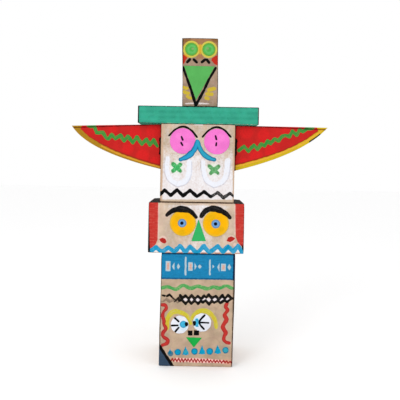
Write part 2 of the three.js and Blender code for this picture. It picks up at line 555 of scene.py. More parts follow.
def wallSink(tier, half, points):
    # how far the wrapped wall lies inside its nominal face: bowing, buckles, creases, crushed corners
    seed = tier["seed"]
    side = 1 - np.clip(np.abs(points) / half, 0, 1) ** 2
    bow = tier["bow"] * (side[:, 0] * side[:, 2] + side[:, 1] * side[:, 2])
    corner = np.linalg.norm(half - np.abs(points), axis=1)
    crushed = tier["crush"] * np.exp(-(corner / skinLook["cornerReach"]) ** 2) \
        * buckle(points, seed + 5, skinLook["cornerSize"])
    return (tier["slack"] + bow + tier["buckle"] * buckle(points, seed, skinLook["buckleSize"])
            + creases(points, seed + 1, tier["creases"], half, tier["crease"]) + crushed)


def ontoWall(tier, half, points, lift=0.0):
    # box points moved onto the carton's rounded, buckled skin, lift above it
    radius = tier["fold"]
    inner = np.clip(points, radius - half, half - radius)
    out = points - inner
    out /= np.maximum(np.linalg.norm(out, axis=1), 1e-9)[:, None]
    skin = inner + out * radius
    share = (skin[:, 2] / half[2] + 1) / 2
    bulge = [np.interp(share, np.linspace(0, 1, len(side)), side) for side in tier["bulge"]]
    skin[:, 0] += np.where(out[:, 0] < 0, out[:, 0] * bulge[0], out[:, 0] * bulge[1])
    return skin - out * (wallSink(tier, half, skin) - lift)[:, None]


class Carton:
    # one wrapped box: its skin, and what is pasted on it
    def __init__(self, node, slot, look, coats, washing):
        self.node = node
        self.slot = slot
        self.look = look
        self.coats = coats
        self.washing = washing
        low, high = nodeBox(node)
        self.half = (high - low) / 2
        self.middle = (low + high) / 2
        self.paint = paintedPaper(node + "Paint", look["ground"], coats)

    def fields(self, raw):
        local = raw + (0, self.half[1], self.half[2])
        fields, brush = layOn(self.coats, local)
        fields["fold"] = np.sort(self.half - np.abs(raw), axis=1)[:, 1]
        fields["wash"] = self.washing(*local.T)
        return fields, brush

    def onSkin(self, raw, lift=0.0):
        return ontoWall(self.look, self.half, raw, lift) + self.middle

    def makeSkin(self):
        steps = (self.look["step"], skinLook["depthStep"], self.look["step"])
        raw, faces = boxSurface([gridLine(2 * h, s, self.look["fold"]) for h, s in zip(self.half, steps)])
        makePiece(self.node + "_skin", self.onSkin(raw), faces, self.paint, self.slot, [self.node],
                  *self.fields(raw))

    def pasteSheet(self, name, grid, lift, material=None):
        # a thin sheet over a grid of places on the box, outward of the skin by lift
        flat = grid.reshape(-1, 3)
        outer = self.onSkin(flat, lift).reshape(grid.shape)
        inner = self.onSkin(flat, lift - parcelLook["paper"]).reshape(grid.shape)
        across = np.cross(outer[1, 0] - outer[0, 0], outer[0, 1] - outer[0, 0])
        points, faces = slab(outer, inner, flip=across @ (outer[0, 0] - inner[0, 0]) < 0)
        makePiece(f"{self.node}_{name}", points, faces, material or self.paint, self.slot, (),
                  *self.fields(np.concatenate([flat, flat])))

    def foldEnd(self, word, axis, side):
        # a parcel's end: two flaps cut to a slant, the second laid over the first
        sides = (axis + 1) % 3, (axis + 2) % 3
        wide, narrow = (0, 1) if self.half[sides[0]] >= self.half[sides[1]] else (1, 0)
        slant = self.half[sides[narrow]] / self.half[sides[wide]]
        over = parcelLook["overlap"] / self.half[sides[narrow]]
        far, rim = parcelLook["reach"]
        s, t = np.meshgrid(*(np.linspace(0, 1, count) for count in parcelLook["flapGrid"]), indexing="ij")
        s, t = s[..., None], t[..., None]
        for number, way in enumerate((-1, 1)):
            corners = np.zeros((4, 2))  # as shares of the end from -1 to 1
            near = far - slant * parcelLook["slant"]
            corners[:, wide] = (-far, far, near, -near)
            corners[:, narrow] = (way * rim, way * rim, way * -over * number, way * -over * number)
            first, second, third, fourth = corners
            flat = (1 - t) * ((1 - s) * first + s * second) + t * ((1 - s) * fourth + s * third)
            grid = np.zeros(flat.shape[:2] + (3,))
            grid[..., axis] = side * self.half[axis]
            grid[..., sides] = flat * self.half[list(sides)]
            self.pasteSheet(f"{word}_flap_{number + 1}", grid, parcelLook["lift"] * (1 + number))

    def tape(self, word, run, face, side, material, length=1.0):
        # gummed paper tape along a face
        spots, lanes = (np.linspace(-1, 1, count) for count in parcelLook["tapeGrid"])
        spots = spots * self.half[run] * length
        wander, wave = parcelLook["tapeWander"]
        grid = np.zeros((len(spots), len(lanes), 3))
        grid[..., run] = spots[:, None]
        grid[..., face] = side * self.half[face]
        grid[..., 3 - run - face] = (lanes * (parcelLook["tapeWidth"] / 2)
                                     + wander * np.sin(spots / wave + self.look["seed"])[:, None])
        self.pasteSheet(word, grid, parcelLook["tapeLift"], material)


parcelLook = {
    "paper": 0.22,  # thickness of paper and tape, in mm
    "lift": 0.24,
    "overlap": 7.0,
    "slant": 0.85,
    "reach": (0.97, 0.985),  # of a flap along and to the end's edges
    "flapGrid": (40, 16),
    "tapeLift": 0.75,
    "tapeWidth": 50.0,
    "tapeWander": (1.2, 41),
    "tapeGrid": (60, 9),
}


def roundedOutline(corners):
    # a closed outline with its corners cut round, as scissors leave them; corners run anticlockwise
    corners = np.array(corners, float)
    line = []
    for before, corner, after in zip(np.roll(corners, 1, 0), corners, np.roll(corners, -1, 0)):
        start, stop = (corner + (end - corner) / np.linalg.norm(end - corner) * cardLook["corner"]
                       for end in (before, after))
        for t in np.linspace(0, 1, 4):
            line.append((1 - t) ** 2 * start + 2 * t * (1 - t) * corner + t ** 2 * stop)
    line = np.array(line + [line[0]])
    run = np.concatenate([[0], np.cumsum(np.linalg.norm(np.diff(line, axis=0), axis=1))])
    spots = np.linspace(0, run[-1], round(run[-1] / cardLook["step"]), endpoint=False)
    return np.stack([np.interp(spots, run, line[:, 0]), np.interp(spots, run, line[:, 1])], 1)


def discOutline(centre, radius, seed, scallop):
    # a circle cut by hand: a few flats and bulges on the way round
    random = np.random.default_rng(seed)
    count = round(2 * math.pi * radius / cardLook["step"])
    angle = np.linspace(0, 2 * math.pi, count, endpoint=False)
    wave = sum(random.uniform(-1, 1) * np.sin(k * angle + random.uniform(0, 6)) / k for k in (2, 3, 5, 8))
    bumps = scallop * np.abs(np.sin(4.5 * angle + 0.4))  # nine round the disc
    size = radius * (1 + cardLook["uneven"] * wave + bumps - scallop)
    return np.stack([centre[0] + size * np.cos(angle), centre[1] + size * np.sin(angle)], 1)


cardLook = {
    "thickness": 0.8,
    "step": 2.4,
    "corner": 1.5,
    "uneven": 0.008,
    "gap": 0.25,
    "curl": 0.5,
    "curlSize": 90,
    "crumple": 0.25,
}


def makeCutOut(node, carton, slot, outline, own, ground):
    # a piece of card pasted on a carton's front, following the paper under it, its rim a little lifted
    look = cardLook
    half = carton.half
    centre = outline.mean(axis=0)
    count = len(outline)
    rings = max(4, round(np.linalg.norm(outline - centre, axis=1).max() / look["step"]))
    shares = np.linspace(0, 1, rings + 1)[1:]
    flat = np.concatenate([[centre]] + [centre + share * (outline - centre) for share in shares])
    share = np.concatenate([[0], np.repeat(shares, count)])
    raw = np.stack([flat[:, 0], np.full(len(flat), -half[1]), flat[:, 1] - half[2]], 1)
    seed = carton.look["seed"] + sum(map(ord, node))
    back = carton.onSkin(raw, look["gap"] + look["curl"] * share ** 5 * buckle(raw, seed, look["curlSize"]))
    front = back - (0, look["thickness"], 0)
    total = len(flat)
    ring = np.arange(1, total).reshape(rings, count)
    ring = np.hstack([ring, ring[:, :1]])
    start, stop = ring[:, :-1], ring[:, 1:]
    faces = [(0, *ends) for ends in zip(start[0], stop[0])] + list(gridQuads(ring))
    faces += [[total + i for i in face[::-1]] for face in faces]
    faces += list(np.stack([start[-1], total + start[-1], total + stop[-1], stop[-1]], 1))
    shown = own + [layer for layer in carton.coats if layer["overCard"]]
    fields, brush = layOn(shown, np.concatenate([raw, raw]) + (0, half[1] - 1, half[2]))
    material = paintedPaper(node + "Card", ground, shown, washed=False, crumple=look["crumple"])
    makePiece(node + "_card", np.concatenate([front, back]), faces, material, slot, [node], fields, brush)


def slab(outer, inner, flip=False):
    # a closed thin sheet between two equal grids of points; outer is the side that faces the viewer
    total = outer.shape[0] * outer.shape[1]
    index = np.arange(total).reshape(outer.shape[:2])
    quads = gridQuads(index)
    rim = np.concatenate([index[:, 0], index[-1, 1:], index[-2::-1, -1], index[0, -2:0:-1]])
    after = np.roll(rim, -1)
    edge = np.stack([rim, rim + total, after + total, after], 1)
    faces = np.concatenate([quads, (quads + total)[:, ::-1], edge])
    return np.concatenate([outer.reshape(-1, 3), inner.reshape(-1, 3)]), faces[:, ::-1] if flip else faces


# The tall carton at the bottom: a blue band over a bird's face

baseLook = {
    "seed": 11, "step": 2.4, "fold": 3.2, "slack": 0.7, "bow": 1.2, "buckle": 0.7, "crush": 1.6,
    "creases": 16, "crease": 0.6,
    "bulge": ((4.4, 4.0, 1.4, 1.0), (3.4, 6.0, 8.6, 8.6)),
    "ground": tint(198, 170, 146),
    "bandBottom": 348.5,
    "teeth": 19,
}


def baseCoats():
    look = baseLook
    upper = [(-66, 284), (-58, 272), (-45, 283), (-32, 270), (-20, 285), (-8, 270), (4, 282), (18, 270),
             (30, 284), (38, 277), (48, 289), (60, 275), (76, 284), (88, 269), (103, 288), (112, 273),
             (125, 288), (139, 276)]
    leftSnake = [(-138, 245), (-124, 243), (-121, 230), (-131, 217), (-135, 200),
                 (-129, 182), (-129, 167), (-121, 150), (-132, 134), (-132, 120),
                 (-122, 112), (-112, 104), (-117, 91), (-133, 84)]
    rightSnake = [(122, 256), (116, 241), (124, 228), (113, 208), (121, 191),
                  (110, 171), (107, 158), (118, 138), (113, 125), (111, 111),
                  (120, 100), (133, 97)]
    lower = [(-70, 262), (-60, 267), (-44, 250), (-32, 264), (-21, 251), (-8, 264), (6, 251), (16, 263),
             (25, 257), (36, 266), (50, 249), (61, 264), (70, 257), (86, 265), (95, 256), (110, 267),
             (122, 261), (139, 275)]
    return [
        coat("sea", (28, 128, 176), wobble=1.2, vary=0.2,
             allRound=lambda x, depth, z: look["bandBottom"] + 0.004 * x - z),
        coat("bandShade", (150, 176, 190), dash(-146, 351, 146, 352, 5), dash(-146, 451, 146, 451, 8),
             wobble=1.5, soft=3.0, shade=True),
        coat("chalk", (180, 200, 208), box(-126, 380, -107, 420),
             patch((-101, 399), (-91, 384), (-91, 415)),
             patch((-81, 399), (-76, 387), (-69, 399), (-76, 412)),
             curve([(-46, 436), (-47, 420), (-46, 400), (-47, 382), (-46, 367)], (6, 7.5, 7)),
             box(-36, 383, -18, 417), patch((-11, 385), (-2, 400), (-11, 415)),
             patch((2, 400), (10, 391), (18, 400), (10, 409)),
             curve([(51, 427), (50, 410), (51, 394), (50, 380), (51, 370)], (5.5, 7, 7)),
             patch((61, 393), (69, 401), (61, 409)), patch((80, 399), (89, 381), (89, 417)),
             box(95, 384, 114, 413), patch((121, 400), (128, 386), (136, 400), (128, 413)), soft=1.2,
             vary=0.14),
        coat("clay", (220, 160, 138), box(-121, 386, -112, 414), box(-31, 389, -22, 411),
             box(100, 389, 110, 408), soft=2.4, cover=0.85),
        coat("leaf", (66, 164, 84), curve([(-142, 312), (-116, 317), (-83, 308), (-55, 324), (-26, 313),
                 (4, 321), (42, 312), (66, 320), (90, 315), (116, 325), (138, 317)], (13, 15, 13)),
             dry=0.35, vary=0.24),
        coat("paleBand", (236, 226, 230), stroke([(-52, 267), (30, 268), (124, 271)], (9, 14, 14)),
             wobble=1.6, soft=3.0, cover=0.85),
        coat("faintInk", (62, 48, 40),
             stroke([(-137, 258), (-121, 266), (-110, 256), (-88, 264), (-76, 255), (-66, 264)], 7),
             stroke([(-121, 270), (-106, 262), (-90, 266)], 6), dry=0.6, cover=0.62),
        coat("butter", (206, 196, 48), curve([(-118, 152), (-115, 190), (-100, 212), (-82, 219),
                 (-58, 214), (-38, 202), (-22, 172)], (19, 20, 13)), curve([(-13, 194), (-3, 210),
                 (16, 223), (40, 222), (61, 208), (74, 188), (81, 158)], (20, 20, 14)), wobble=1.6,
             soft=1.4, dry=0.35),
        coat("honey", (216, 176, 44), dash(-117, 156, -113, 182, 8), dash(-12, 194, 4, 212, 7),
             dash(58, 214, 78, 176, 6), dash(-60, 210, -36, 196, 5), wobble=2.4, soft=2.5, dry=0.5,
             cover=0.6),
        coat("salmon", (232, 164, 142), dash(118, 22, 140, 20, 22), wobble=2.0, soft=4.0, cover=0.6),
        coat("brickWash", (255, 200, 192), stroke([(-80, 26), (20, 25), (112, 22)], (16, 18, 13)),
             wobble=1.2, soft=1.2),
        coat("brick", (166, 40, 38),
             zigzag((-100, 19), (143, 17), look["teeth"], (14, 14, 7), (4.8, 4.4, 5.4)), wobble=0.9),
        coat("crimson", (168, 24, 42), curve(leftSnake, (13, 14, 15)), curve(rightSnake, (13, 18, 12)),
             dry=0.1),
        coat("poppy", (194, 56, 46), curve(leftSnake, (8, 5, 9)), curve(rightSnake, (8, 13, 6)), soft=2.4,
             dry=0.3),
        coat("bead", (10, 156, 198), patch((-103, 72), (-110, 50), (-96, 50)),
             patch((-41, 80), (-54, 47), (-27, 48)), patch((25, 86), (12, 51), (39, 51)),
             patch((87, 90), (74, 55), (102, 55)), dot(-40, 56, 11), dot(26, 60, 11), dot(88, 63, 11),
             dot(-72, 57, 12.5), dot(-5, 61, 12.5), dot(56, 62, 13), dot(119, 68, 12), wobble=1.2,
             vary=0.22),
        coat("paleBead", (64, 166, 176), dot(119, 68, 11), dot(-40, 58, 7), wobble=1.4, soft=3.0,
             cover=0.7),
        coat("deepBead", (14, 108, 142), dot(-101, 51, 11.5), hoop(-72, 57, 11.5, 4),
             hoop(-5, 61, 11.5, 4), hoop(56, 62, 12, 4), hoop(119, 68, 11, 4), dash(-53, 48, -41, 78, 2.5),
             dash(13, 52, 25, 84, 2.5), dash(75, 56, 87, 88, 2.5), wobble=1.4, soft=1.6, cover=0.85),
        coat("ink", (4, 5, 4), stroke(upper, 11), stroke(lower, 10.5), dash(-137, 283, -128, 281, 8),
             stroke([(-119, 280), (-109, 286), (-101, 279)], 9), wobble=1.2, dry=0.04),
        coat("nostril", (5, 6, 5), box(-33, 124, -14, 144), box(-9, 125, 12, 145), wobble=1.6, vary=0.05,
             overCard=True),
        coat("thinInk", (22, 14, 14), stroke([(-102, 280), (-95, 272), (-83, 265), (-66, 282)], 6.5),
             dash(-90, 257, -62, 276, 4.5), dry=0.15),
        coat("slate", (54, 74, 96), patch((-146, 82), (-150, 82), (-150, -4), (-91, -4)), wobble=0.6),
        coat("slateEdge", (10, 8, 10), dash(-147, 83, -87, -6, 12), wobble=0.6),
        # painted shade: the blue band turned dark navy along its right edge and the front of its right side
        coat("bandSideShade", (8, 24, 60), wobble=0.8,
             allRound=lambda x, depth, z: np.maximum(np.maximum(141.5 - x, (depth - 44) * 0.08), 350 - z)),
        # painted shade: the kraft below the band darkened along the right edge and the front of the right
        # side
        coat("rightSideShade", (96, 80, 70), wobble=0.8, soft=1.5, shade=True,
             allRound=lambda x, depth, z: np.maximum(np.maximum(142 - x, (depth - 40) * 0.08), z - 352)),
        # painted shade: a thin darker line down the left fold
        coat("leftEdgeShade", (140, 128, 118), dash(-144, 70, -144, 448, 5), wobble=0.8, soft=1.5, shade=True),
    ]


baseEyeCoats = [
    coat("pale", (206, 232, 246), dot(-53, 162, 18), dot(2, 178, 20), wobble=2.0, soft=5.0, cover=0.8),
    coat("iris", (66, 180, 220), dot(-51, 168.5, 14), dash(2, 166, 2, 187, 13.5), wobble=0.8, vary=0.2),
    coat("irisRim", (40, 130, 170), hoop(-51, 168.5, 12.5, 4), dash(-1, 190, 8, 184, 4),
         dash(2, 164, 7, 162, 5), wobble=0.8, soft=1.6, cover=0.7),
    coat("eyeInk", (6, 6, 10), dash(-39, 167, -39, 171, 13), dash(-8, 170, -8, 176, 13.5),
         dash(-92, 199, -71, 180, 8), dash(-99, 163, -74, 164, 7.5), dash(-84, 138, -70, 155, 7.5),
         curve([(33, 206), (18, 190), (12, 178), (17, 166), (31, 151)], 8),
         dash(16, 177, 49, 176, 6.5), wobble=0.5),
]


# The wide carton: staring yellow eyes over a blue zigzag

wideLook = {
    "seed": 23, "step": 2.4, "fold": 3.0, "slack": 1.1, "bow": 1.0, "buckle": 0.6, "crush": 1.6,
    "creases": 14, "crease": 0.5,
    "bulge": ((3.4, 3.4), (3.4, 3.4)),
    "ground": tint(211, 185, 164),
}


def wideCoats():
    edge = 189.0
    top = 203.0

    def ledge(x, depth, z):
        # the top coloured near black, left bare in front of the head
        return np.maximum(top - 0.7 - z, np.minimum(147 - np.abs(x - 2), 60 - depth))

    peaks = [(-159, 10), (-110, 11), (-63, 13), (-23, 11), (32, 12), (87, 12), (129, 13), (168, 12)]
    return [
        coat("poppy", (195, 48, 41), patch((-192, 206), (-153, 206), (-151, 150), (-152, 90), (-153, 52),
                 (-162, 32), (-176, 20), (-192, 14)), patch((192, 206), (153, 206), (154, 150), (156, 110),
                 (158, 70), (166, 50), (178, 36), (192, 28)), wobble=1.6, dry=0.12,
             allRound=lambda x, depth, z: edge - 2.5 - np.abs(x) + 30 * (np.abs(x) < edge - 4)),
        coat("nearBlackTop", (12, 11, 12), wobble=0.5, allRound=ledge),
        coat("blush", (240, 204, 194), dot(-132, 54, 15), dot(141, 61, 15), dot(-145, 34, 8),
             dot(156, 38, 8), dash(-151, 190, -150, 60, 4), dash(153, 196, 155, 80, 4), wobble=2.0,
             soft=3.0, cover=0.6),
        coat("chalk", (244, 236, 234), *[dot(x, z - 1, 8.5) for x, z in peaks], wobble=1.4, soft=1.5,
             cover=0.9),
        # painted shade: reddish-brown dashes along the bottom edge, under the white dots
        coat("bottomEdgeShade", (186, 128, 112), *[dash(x - 7, 2, x + 7, 2, 8) for x, z in peaks[1:]],
             wobble=1.4, soft=1.5, cover=0.85),
        coat("sea", (4, 150, 196), stroke([(-182, 5), (-159, 23), (-134, 4), (-110, 23), (-85, 6),
                 (-63, 30), (-41, 6), (-23, 28), (5, 1), (32, 31), (54, 5), (87, 31), (109, 9), (128, 32),
                 (149, 11), (168, 34), (186, 8)], 17.5), wobble=1.2, dry=0.12, vary=0.24),
        coat("cheek", (176, 40, 34),
             patch((-147, 56), (-134, 62), (-122, 57), (-117, 46), (-123, 38), (-132, 40), (-142, 47)),
             patch((122, 53), (128, 67), (140, 72), (157, 65), (149, 55), (136, 48))),
        coat("brow", (7, 7, 11),
             curve([(-118, 152), (-94, 170), (-60, 177), (-25, 169), (-1, 146)], (13, 27, 13)),
             curve([(20, 150), (36, 171), (64, 181), (95, 174), (120, 160), (134, 146)], (17, 27, 13)),
             wobble=0.8, dry=0.04, overCard=True),
        # painted shade: dark lines down the left and right edges and along the bottom-left edge
        coat("edgeShade", (18, 12, 12), stroke([(-191, 206), (-190, 120), (-189, 0)], (4, 6, 14)),
             dash(-192, -2, -142, -2, (15, 4)), dash(191, 206, 191, -4, 5),
             dash(183, 40, 189, 20, (3, 8)), wobble=1.2),
        coat("topShade", (140, 106, 86), dash(-150, 204, 150, 204, 5), soft=1.4, shade=True),
    ]


wideEyeCoats = [
    coat("rim", (214, 182, 60), hoop(-53, 121, 52, 12), hoop(78, 122, 52, 12), wobble=2.0, soft=5.0,
         cover=0.6),
    coat("amber", (214, 170, 20), dot(-58, 84, 14), dot(-72, 140, 12), dot(60, 146, 16),
         dot(100, 100, 12), wobble=2.0, soft=7.0, cover=0.6),
    coat("iris", (112, 160, 214), dot(-56, 121, 16.5), dot(78, 120, 17), wobble=0.8, vary=0.1),
    coat("irisRim", (84, 116, 140), hoop(-56, 121, 15.5, 4), hoop(78, 120, 16, 4), wobble=0.8,
         soft=1.8, cover=0.7),
    coat("pupil", (6, 8, 26), dot(-57, 121, 7), dot(77, 120, 7), wobble=0.5, soft=1.4),
]


# The head: pink eyes, a blue moustache and two white curls over black teeth

headLook = {
    "seed": 37, "step": 2.4, "fold": 3.0, "slack": 0.7, "bow": 1.2, "buckle": 0.7, "crush": 1.6,
    "creases": 16, "crease": 0.6,
    "bulge": ((3.0, 3.0), (0.8, 1.6)),
    "ground": tint(203, 177, 153),
}


def headCoats():
    leftSweep = [(-3, 244), (-13, 216), (-28, 195), (-46, 181), (-69, 171)]
    rightSweep = [(-2, 244), (6, 220), (17, 201), (33, 186), (48, 178), (66, 173)]
    return [
        coat("bareFoot", (202, 178, 148), wobble=1.6, soft=1.5, cover=0.85,
             allRound=lambda x, depth, z: z - 12 - 0.012 * x),
        coat("sideKraft", (204, 170, 142), dash(-147, 10, -147, 310, 14), dash(147, 10, 147, 310, 9),
             wobble=1.4, soft=3.0, cover=0.8),
        coat("curl", (236, 240, 250),
             curve([(-121, 176), (-123, 130), (-110, 92), (-80, 72)], (15, 17, 18)),
             curve([(-80, 72), (-50, 84), (-35, 110), (-34, 162)], (18, 24, 20)),
             curve([(21, 168), (24, 128), (38, 90), (66, 71)], (15, 19, 18)),
             curve([(66, 71), (96, 84), (113, 108), (120, 168)], (18, 20, 24)), wobble=2.0, soft=2.0,
             dry=0.4, vary=0.06, cover=0.92),
        coat("curlShade", (228, 228, 238), curve([(-132, 176), (-134, 130), (-119, 86), (-82, 61)], 2.5),
             curve([(-24, 162), (-25, 112), (-44, 74), (-80, 61)], 2.5),
             curve([(11, 168), (14, 128), (30, 82), (66, 60)], 2.5),
             curve([(132, 168), (124, 104), (102, 74), (68, 60)], 2.5), wobble=1.6, soft=3.0, shade=True),
        coat("mintHalo", (226, 240, 222), dot(-84, 139, 26), dot(64, 133, 25), wobble=2.0, soft=5.0,
             cover=0.6),
        coat("leaf", (36, 172, 86), dash(-98, 152, -71, 126, (17, 16)),
             dash(-70, 151, -98, 125, (16, 17)), wobble=1.6, dry=0.25, vary=0.22),
        coat("paleLeaf", (82, 161, 94), dash(47, 146, 80, 120, (15, 15)),
             dash(82, 145, 53, 119, (16, 16)), wobble=1.6, dry=0.25, vary=0.18),
        coat("leafEnds", (66, 120, 64), *[dot(x, z, 6) for x, z in ((-101, 155), (-68, 123), (-67, 154),
                 (-101, 122), (44, 149), (83, 117), (85, 148), (50, 116))], wobble=2.0, soft=3.0,
             cover=0.55),
        coat("deepSky", (18, 106, 146), curve(leftSweep, (17, 25, 17)), curve(rightSweep, (16, 22, 17)),
             wobble=0.9, overCard=True),
        coat("sky", (40, 156, 200), curve(leftSweep, (12, 17, 8)), wobble=1.2, soft=2.6, dry=0.15,
             vary=0.18, overCard=True),
        coat("teal", (46, 160, 188), curve(rightSweep, (10, 14, 8)), wobble=1.2, soft=2.6, dry=0.15,
             vary=0.18, overCard=True),
        coat("ink", (5, 6, 6),
             curve([(-117, 266), (-92, 291), (-61, 303), (-30, 290), (-5, 262)], (7, 8.5, 8)),
             curve([(17, 263), (42, 290), (73, 303), (104, 292), (130, 265)], (7, 8.5, 8)),
                 stroke([(-149, 29), (-131, 48), (-106, 27), (-81, 50), (-57, 26), (-29, 48), (-1, 24),
                 (27, 44), (54, 24)], (13, 14.5, 13)), wobble=0.6, overCard=True),
        coat("dryInk", (14, 16, 14), dash(54, 24, 82, 41, (12, 11)), dash(81, 42, 105, 21, (12, 14)),
             stroke([(105, 21), (131, 39), (145, 28)], (13, 11)), dry=0.18),
        # a small white mark along the top edge, under the brim
        coat("topWhiteMark", (244, 240, 240), dash(-14, 312, 16, 312, 4), soft=1.4),
        coat("footShade", (176, 156, 136), dash(-150, 0, 150, 0, 6), dash(-149, -2, -149, 316, 4),
             dash(149, -2, 149, 316, 4), wobble=0.8, soft=1.8, shade=True),
    ]


headEyeCoats = [
    coat("pinkWash", (250, 140, 214), dot(-74, 262, 14), dot(-48, 224, 15), dot(92, 262, 15),
         dot(60, 222, 14), wobble=3.0, soft=6.0, cover=0.4),
    coat("pupil", (30, 6, 30), dash(-67, 262, -62, 250, (7, 8)), dash(-68, 238, -62, 228, (8, 6.5)),
         dash(69, 268, 73, 254, (6.5, 7.5)), dash(73, 240, 72, 230, (6.5, 7)), wobble=0.6),
]


# The flat brim, painted all over

brimLook = {
    "seed": 41, "step": 2.6, "fold": 2.4, "slack": 0.6, "bow": 0.6, "buckle": 0.5, "crush": 0.8,
    "creases": 8, "crease": 0.35,
    "bulge": ((2.6, 2.6), (2.6, 2.6)),
    "ground": tint(54, 162, 136),
}


def brimCoats():
    edge = 240.5
    return [
        coat("brushed", (66, 174, 146), *[dash(-230, z, 230, z, 12) for z in (14, 36, 58)], wobble=2.0,
             soft=4.0, dry=0.8, cover=0.5),
        coat("topShade", (40, 60, 52), stroke([(-244, 69.5), (-150, 70), (-134, 69.5)], 4.5),
             dash(-126, 69.5, 244, 69.5, 4.0), wobble=1.2, soft=1.0, shade=True),
        coat("endShade", (40, 60, 52), dash(-edge, -2, -edge, 74, 6), dash(edge, -2, edge, 74, 4),
             dash(-edge, 0, -146, 0, 3.5), wobble=0.8, soft=1.0, shade=True),
    ]


# The top box: round green eyes over a long beak

topLook = {
    "seed": 53, "step": 2.2, "fold": 2.6, "slack": 0.7, "bow": 0.8, "buckle": 0.5, "crush": 1.2,
    "creases": 9, "crease": 0.5,
    "bulge": ((1.2, 1.2, 3.6, 6.0), (3.6, 3.2, 1.4, 0.4)),
    "ground": tint(166, 138, 118),
}


def topCoats():
    return [
        coat("ochre", (164, 108, 58), patch((-76, 214), (76, 212), (76, 282), (-76, 282)),
             patch((-18, 192), (12, 192), (6, 230), (-12, 230)), wobble=3.0, soft=7.0, dry=0.3, cover=0.85),
        coat("brownTop", (120, 84, 42), dash(-72, 274, -52, 268, 24), dash(50, 274, 72, 266, 18),
             dash(-70, 262, -70, 210, 8), dash(70, 262, 70, 210, 6), wobble=2.0, soft=6.0, cover=0.7),
        coat("poppy", (186, 46, 30),
             patch((-73, 210), (-58, 206), (-51, 200), (-60, 186), (-66, 172), (-73, 170)),
             patch((73, 210), (62, 207), (46, 196), (43, 188), (54, 176), (63, 169), (73, 168)),
             wobble=1.6, vary=0.22),
        coat("lemon", (206, 192, 80), dot(-37, 231, 34), dot(33, 231, 34), wobble=1.2, vary=0.12),
        coat("amber", (216, 166, 44), dash(-2, 246, -2, 216, (12, 9)), dash(-64, 210, -50, 200, 6),
             wobble=1.2, soft=3.0, cover=0.85),
        coat("mustard", (204, 178, 38), dash(-66, 76, -52, 73, 12), dash(-66, 58, -46, 53, 13),
             dash(-50, 40, -37, 33, 12), dash(36, 68, 58, 74, 15), dash(28, 52, 49, 51, 14),
             dash(24, 36, 34, 33, 13), wobble=2.4, soft=1.6, dry=0.25, cover=0.95),
        coat("chalk", (236, 222, 222), dash(-57, 11, -27, 13, (4, 6)),
             dash(-6, 13, 37, 12, (7, 4)), soft=1.5, dry=0.3),
        coat("ink", (8, 9, 8), dash(-53, 179, -43, 190, 11), dash(-27, 190, -15, 179, 10.5),
             dash(6, 180, 18, 190, 11), dash(26, 190, 35, 178, 10.5),
             stroke([(-70, 158), (-49, 102), (-36, 68), (-16, 6)], (9.5, 10.5, 12.5)),
             stroke([(62, 157), (34, 107), (17, 68), (-15, 6)], (9.5, 10.5, 12.5)), wobble=0.6,
             overCard=True),
        coat("topShade", (92, 68, 56), dash(-74, 277, 74, 277, 6), dash(-71, -2, -71, 280, 4),
             dash(71, -2, 71, 280, 4), dash(-74, 0, 74, 0, 4), wobble=0.8, soft=1.6, shade=True),
    ]


topEyeCoats = [
    coat("olive", (112, 160, 52), hoop(-37, 231, 25, 5), hoop(33, 231, 25, 5), wobble=1.4, soft=3.0,
         cover=0.7),
    coat("pale", (112, 196, 112), hoop(-36, 231, 14, 8), hoop(33, 231, 14, 8), wobble=3.0, soft=4.0,
         cover=0.6),
    coat("pupil", (132, 164, 104), dot(-32, 233, 5), dot(28, 235, 5), wobble=1.4, soft=2.2),
]


# The wings: corrugated board, two flat liners with a wavy sheet between them

wingLook = {
    "seed": 61,
    "red": tint(201, 38, 36),
    "backRed": tint(182, 48, 42),
    "bareBoard": tint(188, 152, 108),
    "step": 2.4,
    "board": 5.0,
    "liner": 0.6,
    "flutePitch": 7.5,
    "fluteStep": 0.8,
    "flutePaper": 0.15,  # half its thickness
    "gap": 0.3,  # between the head's side and the wing's root
    "tipHeight": 1.6,
    "belly": 0.61,  # how deep the lower edge bulges
    "ripple": (2.2, 150),  # height and size
    "crumple": 0.3,
    "left": {
        "side": -1, "tipDrop": 11, "bellyReach": 0.18, "bend": 7.0, "band": (11, 17, 21),
        "tipShadeSpan": (0, 0), "sunlit": 0.6, "bandColour": (168, 126, 30), "highlightColour": (220, 156, 50),
        "zigzag": [
            (-452, -11), (-427, -14), (-418, -39), (-393, -37), (-380, -57), (-370, -62), (-356, -46),
            (-341, -61), (-321, -47), (-306, -69), (-290, -51), (-271, -76), (-254, -54), (-233, -82),
            (-215, -62), (-200, -86), (-186, -63), (-171, -88)],
    },
    "right": {
        "side": 1, "tipDrop": 2, "bellyReach": 0.26, "bend": 4.0, "band": (21, 18, 17),
        "tipShadeSpan": (436, 500), "sunlit": 1.0, "bandColour": (204, 174, 30), "highlightColour": (230, 172, 58),
        "zigzag": [
            (459, -5), (434, -8), (419, -21), (406, -12), (394, -34), (376, -19), (365, -40), (346, -36),
            (336, -40), (320, -58), (305, -51), (289, -70), (276, -61), (264, -80), (251, -72), (236, -95),
            (221, -78), (199, -102), (181, -84), (161, -100)],
    },
}


